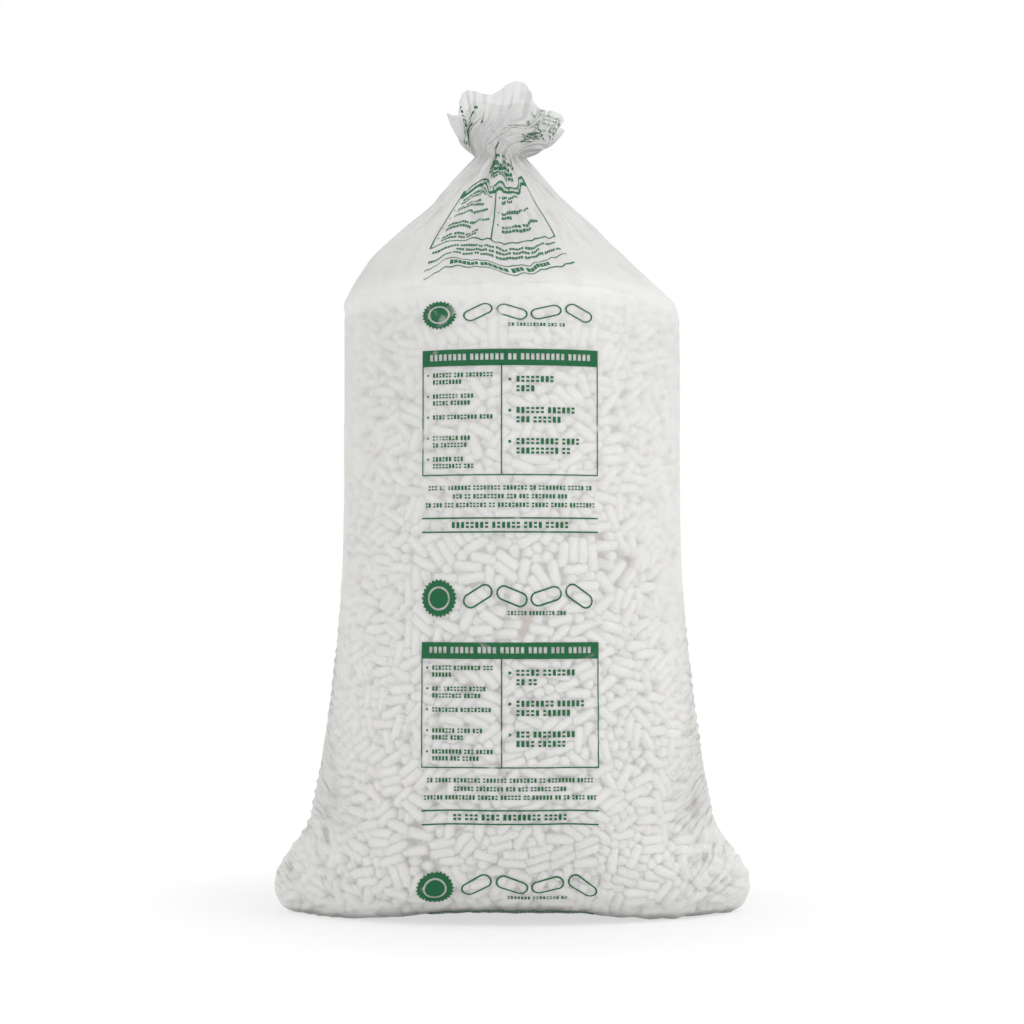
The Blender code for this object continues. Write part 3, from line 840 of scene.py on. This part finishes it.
def rods_tree():
    """A search tree of all the foam rods."""
    verts, faces, start = [], [], 0
    for ob in made["rods"]:
        mesh = ob.data
        co = np.zeros(len(mesh.vertices) * 3, np.float32)
        mesh.vertices.foreach_get("co", co)
        verts.extend(co.reshape(-1, 3).tolist())
        faces.extend([[v + start for v in face.vertices] for face in mesh.polygons])
        start += len(mesh.vertices)
    return BVHTree.FromPolygons(verts, faces)


def eased(field, rounds, limit):
    """Even out a field over the grid, and hold it at or under its limit."""
    for _ in range(rounds):
        sides = np.roll(field, 1, axis=1) + np.roll(field, -1, axis=1)
        ends = np.vstack([field[:1], field[:-1]]) + np.vstack([field[1:], field[-1:]])
        field = np.minimum((2.0 * field + sides + ends) / 6.0, limit)
    return field


def draped(grid, kinds, film):
    """Pull the film in between the rods behind it, then fold it."""
    normals = grid_normals(grid)
    tree = rods_tree()
    outside, clearance, furthest_out = 0.012, 0.0012, 0.008
    heights = grid[..., 2]
    sag = film.sag * (0.12 + 0.88 * smooth((0.75 - heights) / 0.55))
    room = sag.copy()
    for row, (kind, value) in enumerate(kinds):
        if kind == "tuft" or (kind == "tent" and value > 0.25):
            continue
        for column in range(grid.shape[1]):
            point = Vector(grid[row, column])
            normal = Vector(normals[row, column])
            hit = tree.ray_cast(point + normal * outside, -normal, outside + film.sag * 2.0)
            if hit[0] is not None:
                room[row, column] = max(hit[3] - outside - clearance, -furthest_out)
    for axis in (0, 1):
        room = np.minimum.reduce([room] + [np.roll(room, way, axis=axis) for way in (1, -1)])
    depth = eased(np.minimum(room, sag), 12, room)
    moved = grid + normals * (side_folds(grid, film) + film_waves(grid, kinds) - depth)[..., None]
    lowest = 0.0002
    moved[..., 2] = np.where(heights < film.flare_height, np.maximum(moved[..., 2], lowest), moved[..., 2])
    return moved


def from_side(grid, film):
    """The length of film from the nearer side of the bag to each column, negative towards its left."""
    share = np.arange(grid.shape[1]) / grid.shape[1]
    return ((share - np.where(share < 0.5, 0.25, 0.75)) * 2.0 * film.lay_flat)[None, :]


def side_mask(grid, film):
    """Where the film is folded along both sides: from the foot up to the middle of the bag."""
    z = grid[..., 2]
    narrow, wide, top = 0.13, 0.27, 0.66
    reach = between(narrow, wide, smooth((0.50 - z) / 0.40))
    reach = reach * (1.0 + 0.35 * noise_field(grid, size=0.10, seed=6))
    inward = smooth(1.5 * (1.0 - np.abs(from_side(grid, film)) / reach))
    return inward * smooth((z - 0.02) / 0.05) * smooth((top - z) / 0.20)


def fold_level(grid, film):
    """A height that is the same all along a fold: the folds arch over the side, and steeper near the foot."""
    steep = between(1.0, 0.6, smooth((grid[..., 2] - 0.08) / 0.30))
    bend = 0.10
    arch = np.sqrt(from_side(grid, film) ** 2 + bend**2) - bend
    uneven = 0.012 * noise_field(grid, size=0.08, seed=8)
    return (grid[..., 2] + steep * arch) / np.sqrt(1.0 + steep**2) + uneven


def side_folds(grid, film):
    """Folds along both sides of the lower half: they run down from the side towards the middle."""
    wander = 2.4 * noise_field(grid, size=0.09, seed=1)
    strength = np.clip(0.55 + 0.9 * noise_field(grid, size=0.06, seed=2), 0.0, 1.4)
    phase = TURN * fold_level(grid, film) / film.wrinkle_pitch + wander
    ridge = 1.0 - np.abs(np.sin(phase / 2.0)) ** 0.8
    return film.wrinkle_depth * strength * ridge * side_mask(grid, film)


def film_waves(grid, kinds):
    """Waves and pleats in the slack film and the tuft, slight bulges on the body, a crumpled lower edge."""
    amount = np.array([wave_depths(kind, value) for kind, value in kinds])
    body = np.array([kind == "body" for kind, _ in kinds])[:, None]
    broad = noise_field(grid, size=0.12, seed=3)
    broad = np.where(body, np.abs(broad), broad)
    narrow = noise_field(grid, size=0.045, seed=4)
    turn = (TURN * np.arange(grid.shape[1]) / grid.shape[1])[None, :]
    pleats = np.cos(43.0 * turn + 5.0 * noise_field(grid, size=0.07, seed=5))
    waves = np.stack([broad, narrow, pleats], axis=2)
    near_floor = smooth((0.06 - grid[..., 2]) / 0.05)
    crumpled = 0.004 * near_floor * np.abs(noise_field(grid, size=0.03, seed=9))
    return (amount[:, None, :] * waves).sum(axis=2) + crumpled


def wave_depths(kind, value):
    """The depth of the broad waves, the narrow waves and the pleats in this kind of row."""
    if kind == "tent":
        fade = float(smooth(value / 0.25)) * float(smooth((1.0 - value) / 0.3))
        return 0.0015 + 0.0075 * fade, 0.0025 * fade, 0.0018 * float(smooth((value - 0.35) / 0.6))
    if kind == "tuft":
        fade = float(smooth(value / 0.5))
        return 0.008 * fade, 0.006 * fade, 0.0024 - 0.0012 * value
    if kind == "body":
        return 0.0015 * float(smooth((value - 0.3) / 0.3)), 0.0, 0.0
    return 0.0, 0.0, 0.0


def fold_map(grid, kinds, film):
    """How the fine folds run, and what the film's material needs at each point, by the attribute's name."""
    z = grid[..., 2]
    columns = grid.shape[1]
    along_film = np.array([value for _, value in kinds])[:, None]
    kind_of_row = np.array([kind for kind, _ in kinds])[:, None]
    parts = [kind_of_row == "tent", kind_of_row == "tuft"]
    slack = parts[0] | parts[1]
    share = (np.arange(columns) / columns)[None, :]
    # The fine folds run up the slack film, and across the sides further down
    way_round = 0.5 - np.abs(np.abs(share - 0.25) - 0.5)
    across = np.where(slack, 0.44 * film.lay_flat * way_round, fold_level(grid, film))
    along = np.where(slack, z, 1.25 * from_side(grid, film))
    # How much of the film lies in gathers: none to all of it. It also sets how much painted shade the fine
    # folds get.
    sides = side_mask(grid, film)
    gathered = np.select(parts, [0.12 + 0.75 * along_film**1.5, 0.9], sides)
    # How milky the film is where it is seen straight on, and where it is seen edge on
    cover = np.interp(z, (0.10, 0.50, 0.90, 1.10, 1.16), (0.57, 0.61, 0.71, 0.79, 0.85)) + 0.14 * sides
    cover = np.select(parts, [between(0.84, 0.60, smooth(along_film / 0.2)), 0.62], cover)
    edge_on = np.interp(z, (0.03, 0.20), (0.64, 0.85))
    # Painted shade: under the foot, along the sides above the foot, in the middle of the slack film and in
    # the tuft
    near_floor = np.where(kind_of_row == "foot", 1.0, 1.0 - smooth(along_film / 0.014))
    near_floor = near_floor + 0.12 * sides * smooth((z - 0.14) / 0.10)
    middle = smooth(1.6 - np.minimum(share, 1.0 - share) / 0.06) * smooth(along_film / 0.4)
    in_tent = 0.28 * smooth(along_film / 0.25) + 0.22 * middle
    painted_shade = np.select(parts, [in_tent, 0.28 + 0.14 * smooth(along_film / 0.3)], near_floor)
    fields = {"gathered": gathered, "cover": cover, "edge_on": edge_on, "painted_shade": painted_shade}
    whole = np.ones_like(z)
    return across * whole, along * whole, {name: field * whole for name, field in fields.items()}


def film_object(grid, kinds, film):
    """The draped film as one sheet, closed around and along the bottom seal, open at the mouth."""
    rows, columns = grid.shape[0] - 1, grid.shape[1]
    across, along, fields = fold_map(grid, kinds, film)
    bm = bmesh.new()
    uv = bm.loops.layers.uv.new("FoldMap")
    layers = [(bm.verts.layers.float.new(name), field) for name, field in fields.items()]
    for vert, row, column in placed_grid(bm, rows, columns):
        column = column % columns
        vert.co = grid[row, column]
        for layer, field in layers:
            vert[layer] = field[row, column]
        for loop in vert.link_loops:
            loop[uv].uv = (across[row, column], along[row, column])
    bmesh.ops.remove_doubles(bm, verts=bm.verts, dist=0.00002)
    bmesh.ops.recalc_face_normals(bm, faces=bm.faces)
    ob = mesh_object("bag_film", bm)
    ob.data.shade_smooth()
    return ob


class PrintBed:
    """The film as what a print lies on: u across from the front, v up the film, in metres."""

    def __init__(self, grid, kinds, film):
        self.grid = grid
        self.normals = grid_normals(grid)
        self.girth = 2.0 * film.lay_flat
        front = grid[:, 0]
        steps = np.linalg.norm(np.diff(front, axis=0), axis=1)
        lengths = np.array([self.film_length(z, film) for z in front[:, 2]])
        heel = next(row for row, (kind, z) in enumerate(kinds) if kind == "body" and z >= film.heel_height)
        lengths[:heel] = lengths[heel] - 1.2 * steps[:heel][::-1].cumsum()[::-1]
        mouth = [row for row, (kind, _) in enumerate(kinds) if kind == "tuft"]
        shares = np.array([kinds[row][1] for row in mouth])
        lengths[mouth] = lengths[mouth[0] - 1] + 1.3 * film.tuft_reach * shares
        self.lengths = np.maximum.accumulate(lengths + np.arange(len(kinds)) * 1e-6)

    def film_length(self, z, film):
        """The length of film up to this height: more than the height where the slack film is gathered."""
        gathered_from = 1.05
        most_extra = 0.258
        rise = max(z - gathered_from, 0.0) / (film.neck_height - gathered_from)
        return z + most_extra * rise**1.55

    def rumpled(self, u, v):
        """Where a point of the print ends up on the film, which is folded and rumpled above the heap."""
        amount = float(smooth((v - 1.17) / 0.10))
        bunched = float(smooth((v - 1.42) / 0.14))
        across = 0.010 * noise.noise(Vector((u / 0.075, v / 0.16, 5.5)))
        up = np.interp(u, (-0.17, -0.12, -0.03, 0.015, 0.16), (-0.020, 0.012, 0.012, -0.020, 0.028))
        up += 0.012 * noise.noise(Vector((u / 0.05, v / 0.12, 2.5)))
        up += 0.008 * noise.noise(Vector((u / 0.016, v / 0.04, 7.5)))
        pleats = 0.020 * math.sin(u / 0.020 + 2.0 * noise.noise(Vector((u / 0.06, v / 0.10, 1.5))))
        return u + amount * across, v + amount * float(up) + bunched * pleats

    def point(self, u, v, lift):
        """The point of the film at u and v, raised off it by lift."""
        rows, columns = self.grid.shape[:2]
        u, v = self.rumpled(u, v)
        row = np.interp(v, self.lengths, np.arange(rows))
        column = (u / self.girth % 1.0) * columns
        low, left = min(int(row), rows - 2), int(column) % columns
        right = (left + 1) % columns
        up, on = row - low, column - int(column)
        lower = (low, left, (1 - up) * (1 - on)), (low, right, (1 - up) * on)
        upper = (low + 1, left, up * (1 - on)), (low + 1, right, up * on)
        point = sum(self.grid[r, c] * share for r, c, share in lower + upper)
        normal = sum(self.normals[r, c] * share for r, c, share in lower + upper)
        return point + normal / max(np.linalg.norm(normal), 1e-6) * lift


class Artwork:
    """Flat shapes in green ink, drawn in u and v and then laid on the film."""

    def __init__(self, cell=0.006):
        self.bm = bmesh.new()
        # The largest size of a face, so that the ink follows the film
        self.cell = cell
        # Bold: taller blocks and thicker rules, in the repeat that is drawn bunched above the heap
        self.bold = False

    def bar(self, left, right, low, high):
        """A filled bar."""
        across = max(1, math.ceil((right - left) / self.cell))
        up = max(1, math.ceil((high - low) / self.cell))
        verts = bmesh.ops.create_grid(self.bm, x_segments=across, y_segments=up, size=0.5)["verts"]
        bmesh.ops.scale(self.bm, verts=verts, vec=(right - left, high - low, 1.0))
        bmesh.ops.translate(self.bm, verts=verts, vec=((left + right) / 2.0, (low + high) / 2.0, 0.0))

    def loop(self, path, width):
        """A line of this width along a closed path of points."""
        count = len(path)
        places = placed_grid(self.bm, 1, count)
        for vert, row, index in places:
            here, before, after = path[index % count], path[index - 1], path[(index + 1) % count]
            along = (after - before).normalized()
            across = Vector((-along.y, along.x, 0.0)) * (width * (row - 0.5))
            vert.co = Vector((here.x, here.y, 0.0)) + across
        bmesh.ops.remove_doubles(self.bm, verts=[vert for vert, _, _ in places], dist=1e-6)

    def frame_box(self, left, right, low, high, width):
        """The outline of a box."""
        self.bar(left, right, low, low + width)
        self.bar(left, right, high - width, high)
        self.bar(left, left + width, low + width, high - width)
        self.bar(right - width, right, low + width, high - width)

    def rod_outline(self, u, v, length, diameter, tilt, width):
        """A foam rod in outline."""
        half = (length - diameter) / 2.0
        turn = Matrix.Rotation(tilt, 2)
        steps = 28
        points = []
        for step in range(steps):
            angle = TURN * step / steps
            x = math.copysign(half, math.cos(angle)) + diameter / 2.0 * math.cos(angle)
            y = diameter / 2.0 * math.sin(angle)
            points.append(turn @ Vector((x, y)) + Vector((u, v)))
        self.loop(points, width)

    def blocks(self, rng, left, right, height, centred):
        """Where the blocks of a line of blank words start and end."""
        pitch = 0.8 * height
        bare = (0.12 if self.bold else 0.28) * height
        blocks, end = [], 0.0
        while True:
            count = int(rng.integers(2, 10))
            if centred:
                count = min(count, int((right - left - end) / pitch))
            if count < 2 or end + pitch * count > right - left:
                break
            blocks.extend((end + pitch * k, end + pitch * (k + 1) - bare) for k in range(count))
            end += pitch * (count + 0.5)
        shift = left + ((right - left - end + 0.68 * height) / 2.0 if centred else 0.0)
        return [(start + shift, stop + shift) for start, stop in blocks]

    def words(self, rng, left, right, low, height, centred=False):
        """A line of blank words: rows of plain blocks, some of them halved."""
        for start, stop in self.blocks(rng, left, right, height, centred):
            if self.bold or rng.random() < 0.5:
                self.bar(start, stop, low, low + height)
            else:
                self.bar(start, stop, low, low + 0.36 * height)
                self.bar(start, stop, low + 0.64 * height, low + height)

    def headed(self, rng, left, right, low, high, height):
        """A filled bar with a line of blank words left bare in it."""
        bottom, top = (low + high - height) / 2.0, (low + high + height) / 2.0
        self.bar(left, right, low, bottom)
        self.bar(left, right, top, high)
        for start, stop in self.blocks(rng, left + 0.01, right - 0.01, height, centred=True):
            self.bar(left, start, bottom, top)
            left = stop
        self.bar(left, right, bottom, top)

    def dot(self, u, v, radius):
        """A filled dot."""
        made_here = bmesh.ops.create_circle(self.bm, cap_ends=True, segments=8, radius=radius)["verts"]
        bmesh.ops.translate(self.bm, verts=made_here, vec=(u, v, 0.0))

    def roundel(self, u, v, radius, scallops=26):
        """A scalloped roundel with a plain ring left bare in it."""
        segments = scallops * 4
        for inner, outer in ((0.0, 0.55), (0.66, 1.0)):
            shares = np.linspace(inner, outer, 4)
            for low, high in zip(shares, shares[1:]):
                places = placed_grid(self.bm, 1, segments)
                for vert, row, column in places:
                    angle = TURN * column / segments
                    reach = radius * (high if row else low)
                    if row and high == 1.0:
                        reach *= 1.0 + 0.06 * math.cos(scallops * angle)
                    vert.co = (u + reach * math.cos(angle), v + reach * math.sin(angle), 0.0)
                bmesh.ops.remove_doubles(self.bm, verts=[vert for vert, _, _ in places], dist=1e-6)

    def laid_on(self, bed, lift):
        """Lay the drawing on the film."""
        for vert in self.bm.verts:
            vert.co = bed.point(vert.co.x, vert.co.y, lift)


def draw_repeat(art, top, ps, rng):
    """One repeat of the design, downwards from its top: a roundel and rods, a headed box, lines and rules."""
    left, right = ps.left, ps.right
    small, medium, large = 0.0080, 0.0110, 0.0115
    art.bold = 1.5 < top < 2.0
    rule = 0.0042 if art.bold else 0.0024
    if not art.bold:
        art.roundel(left + 0.034, top - 0.030, 0.033)
        for number, tilt in enumerate((0.55, -0.4, 0.3, -0.6)):
            art.rod_outline(left + 0.108 + 0.062 * number, top - 0.026, 0.056, 0.025, tilt, 0.0032)
        art.words(rng, left + 0.16, left + 0.27, top - 0.060, 0.0075, centred=True)
    else:
        for number in range(4):
            art.words(rng, left + 0.07, right - 0.07, top - 0.020 - 0.020 * number, 0.014, centred=True)
    # The box, with its heading, and two columns of lines with dots before them
    head = top - 0.109
    head_height = 0.028
    box_height = 0.228
    low = head - box_height
    divide = left + 0.150
    art.headed(rng, left, right, head - head_height, head, large)
    art.frame_box(left, right, low, head - 0.0275, rule)
    art.bar(divide, divide + rule, low, head - head_height)
    for number in range(5):
        v = head - 0.050 - 0.038 * number
        art.dot(left + 0.012, v + 0.004, 0.0022)
        art.words(rng, left + 0.022, divide - 0.010, v, small)
        if number != 2:
            art.words(rng, left + 0.022, divide - 0.030, v - 0.0125, small)
    for number in range(3):
        v = head - 0.060 - 0.056 * number
        art.dot(divide + 0.016, v + 0.005, 0.0030)
        art.words(rng, divide + 0.028, right - 0.020, v, medium)
        art.words(rng, divide + 0.028, right - 0.045, v - 0.0170, medium)
    # Lines under the box, and one line between two rules
    for number, inset in enumerate((0.010, 0.060, 0.004)):
        art.words(rng, left + inset, right - inset, low - 0.026 - 0.0155 * number, small, centred=True)
    thick = 0.0028
    upper, lower = low - 0.078, low - 0.103
    art.bar(left, right, upper, upper + thick)
    art.bar(left, right, lower, lower + thick)
    art.words(rng, left + 0.055, right - 0.055, upper - 0.0165, medium, centred=True)


class BAG_OT_print(bpy.types.Operator):
    """Lay the green print on the front of the film"""

    bl_idname = "bag.print"
    bl_label = "Print"

    def execute(self, context):
        film, _, ps, _ = picked(context)
        bed = PrintBed(made["grid"], made["kinds"], film)
        rng = np.random.default_rng(5)
        art = Artwork()
        for repeat in (-1, 0, 1, 2, 3):
            draw_repeat(art, ps.anchor + ps.pitch * repeat, ps, rng)
        # Marks that the knot carries round into the tuft, and marks bunched in the neck
        for left, right, bottom, top, count, length, height in (
            (-0.68, -0.42, 1.77, 1.86, 23, 0.035, 0.008),
            (-0.13, 0.10, 1.62, 1.71, 26, 0.045, 0.011),
        ):
            for _ in range(count):
                u, v = rng.uniform(left, right), rng.uniform(bottom, top)
                art.bar(u, u + rng.uniform(0.4, 1.0) * length, v, v + rng.uniform(0.4, 1.0) * height)
        keep_on_film(art.bm, bed)
        art.laid_on(bed, lift=0.0009)
        ob = mesh_object("green_print", art.bm)
        ob.data.shade_smooth()
        finished(ob, flexo_ink(ps), "clear_film")
        return {"FINISHED"}


def keep_on_film(bm, bed):
    """Cut away what would lie past the mouth or under the foot."""
    underside = -0.10
    for level, way in ((bed.lengths[-2], 1.0), (underside, -1.0)):
        bmesh.ops.bisect_plane(
            bm,
            geom=bm.verts[:] + bm.edges[:] + bm.faces[:],
            plane_co=(0.0, level, 0.0),
            plane_no=(0.0, way, 0.0),
            clear_outer=True,
        )


class BAG_OT_stage(bpy.types.Operator):
    """Set up the floor, the lights and the camera"""

    bl_idname = "bag.stage"
    bl_label = "Stage"

    def execute(self, context):
        _, _, _, stage = picked(context)
        scene = context.scene
        scene.view_settings.view_transform = "Standard"
        add_floor(stage)
        add_lights()
        add_world(scene)
        data = bpy.data.cameras.new("camera")
        data.lens = stage.focal_pixels / 1024.0 * data.sensor_width
        camera = linked(bpy.data.objects.new("camera", data))
        camera.location = (0.0, -stage.distance, stage.camera_height)
        aim = Vector((0.0, 0.0, stage.aim_height)) - camera.location
        camera.rotation_euler = aim.to_track_quat("-Z", "Y").to_euler()
        scene.camera = camera
        return {"FINISHED"}


def seen_itself(tree):
    """1 for rays from the camera, off gloss or through clear film, and 0 for light on its way to the bag."""
    path = add_node(tree, "LightPath").outputs
    seen = {0: path["Is Camera Ray"], 1: path["Is Glossy Ray"]}
    seen = {0: add_node(tree, "Math", seen, operation="MAXIMUM").outputs[0], 1: path["Is Transmission Ray"]}
    return add_node(tree, "Math", seen, operation="MAXIMUM").outputs[0]


def add_floor(stage):
    """A white floor that keeps the bag's shadow and meets the white background without an edge."""
    bm = bmesh.new()
    bmesh.ops.create_grid(bm, x_segments=1, y_segments=1, size=30.0)
    floor = mesh_object("floor", bm)
    material, tree = blank_material("white_studio_floor")
    seen = seen_itself(tree)
    place = add_node(tree, "TexCoord").outputs["Object"]
    distance = add_node(tree, "VectorMath", {0: place}, operation="LENGTH").outputs["Value"]
    # Painted shade: a little darker around the foot of the bag than away from it
    far = add_node(
        tree,
        "MapRange",
        {"From Min": 0.30, "From Max": 1.0, "To Min": 0.64, "To Max": 0.76, "Value": distance},
        interpolation_type="SMOOTHSTEP",
    ).outputs[0]
    strength = add_node(tree, "Math", {0: seen, 1: far}, operation="MULTIPLY").outputs[0]
    glow = add_node(tree, "Emission", {"Color": WHITE, "Strength": strength})
    colours = {6: list(stage.floor), 7: toned(stage.floor, 0.3), "Factor": seen}
    colour = add_node(tree, "Mix", colours, data_type="RGBA").outputs[2]
    base = add_node(tree, "BsdfDiffuse", {"Color": colour})
    both = add_node(tree, "AddShader", {0: base.outputs[0], 1: glow.outputs[0]})
    add_node(tree, "OutputMaterial", {"Surface": both.outputs[0]})
    floor.data.materials.append(material)


def add_lights():
    """A large soft key light high up on the right in front, and a weaker fill on the left."""
    aim = Vector((0.0, 0.0, 0.7))
    for name, place, size, energy in (
        ("key", Vector((2.5, -2.0, 4.8)), 2.4, 98.0),
        ("fill", Vector((-3.2, -2.8, 2.6)), 2.6, 22.0),
    ):
        data = bpy.data.lights.new(name, "AREA")
        data.size = size
        data.energy = energy
        lamp = linked(bpy.data.objects.new(name, data))
        lamp.location = place
        lamp.rotation_euler = (aim - place).to_track_quat("-Z", "Y").to_euler()


def add_world(scene):
    """Even white studio light. The camera sees plain white behind the bag."""
    world = bpy.data.worlds.new("studio")
    scene.world = world
    world.use_nodes = True
    tree = world.node_tree
    tree.nodes.clear()
    light = add_node(tree, "Background", {"Color": WHITE, "Strength": 0.92})
    backdrop = add_node(tree, "Background", {"Color": WHITE, "Strength": 1.0})
    mixed = add_node(tree, "MixShader", {0: seen_itself(tree), 1: light.outputs[0], 2: backdrop.outputs[0]})
    add_node(tree, "OutputWorld", {"Surface": mixed.outputs[0]})


class BAG_PT_panel(bpy.types.Panel):
    """Lists what makes up the bag"""

    bl_label = "Packing Peanut Bag"
    bl_idname = "BAG_PT_panel"
    bl_space_type = "VIEW_3D"
    bl_region_type = "UI"
    bl_category = "Peanut Bag"

    def draw(self, context):
        for operator in OPERATORS:
            self.layout.operator(operator.bl_idname)
        for settings in picked(context):
            box = self.layout.box()
            for name in settings.bl_rna.properties.keys():
                if name not in ("rna_type", "name"):
                    box.prop(settings, name)


OPERATORS = (BAG_OT_peanuts, BAG_OT_core, BAG_OT_film, BAG_OT_print, BAG_OT_stage)
GROUPS = (FilmSettings, PeanutSettings, PrintSettings, StageSettings)


def register():
    """Register the classes of the add-on and hang its settings on the scene."""
    for cls in GROUPS + OPERATORS + (BAG_PT_panel,):
        bpy.utils.register_class(cls)
    bpy.types.Scene.bag_film = PointerProperty(type=FilmSettings)
    bpy.types.Scene.bag_peanuts = PointerProperty(type=PeanutSettings)
    bpy.types.Scene.bag_print = PointerProperty(type=PrintSettings)
    bpy.types.Scene.bag_stage = PointerProperty(type=StageSettings)


def unregister():
    """Take the settings and the classes away again."""
    for name in ("bag_stage", "bag_print", "bag_peanuts", "bag_film"):
        delattr(bpy.types.Scene, name)
    for cls in reversed(GROUPS + OPERATORS + (BAG_PT_panel,)):
        bpy.utils.unregister_class(cls)


def main():
    """Make every piece and the stage."""
    register()
    bpy.ops.bag.peanuts()
    bpy.ops.bag.core()
    bpy.ops.bag.film()
    bpy.ops.bag.print()
    bpy.ops.bag.stage()


if __name__ == "__main__":
    main()
